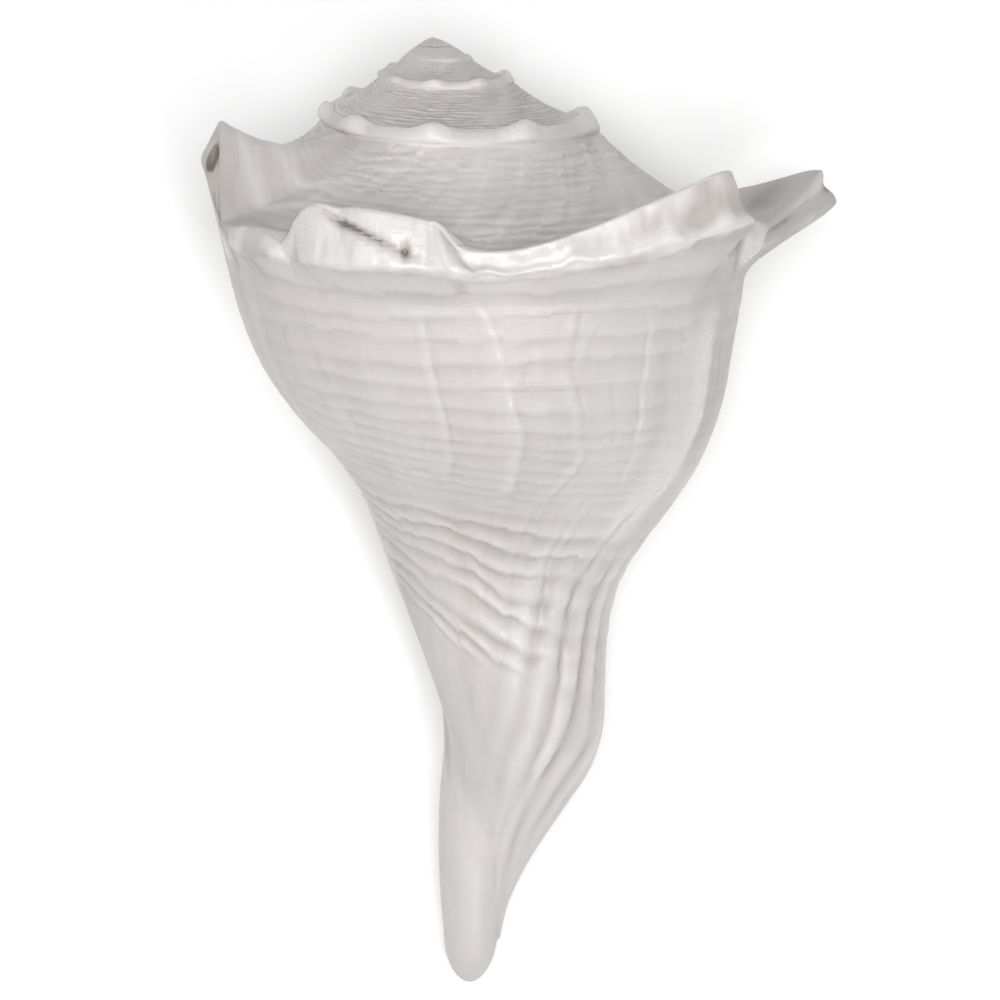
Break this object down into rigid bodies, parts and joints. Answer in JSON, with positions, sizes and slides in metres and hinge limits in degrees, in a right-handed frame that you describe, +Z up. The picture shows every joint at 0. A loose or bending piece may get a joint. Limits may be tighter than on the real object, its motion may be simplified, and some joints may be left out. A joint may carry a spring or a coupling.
{
  "type": "conch shell (left-handed whelk)",
  "caption": "White left-handed whelk shell, of the kind sold as a conch, with a spined shoulder and a long canal, lying on its mouth with its back up.",
  "frame": {"origin": "on the surface that the shell lies on, at the centre of the bottom of its bounding box", "axes": "+Z up, out of the shell's back; +Y towards the apex of the spire, so the canal points along -Y; +X towards the outer lip's side, to the right as the back is looked at"},
  "size_m": [0.1352, 0.2022, 0.0967],
  "materials": {
    "shell": "satin"
  },
  "bodies": {
    "root": {"shell": "shell"}
  },
  "joints": []
}
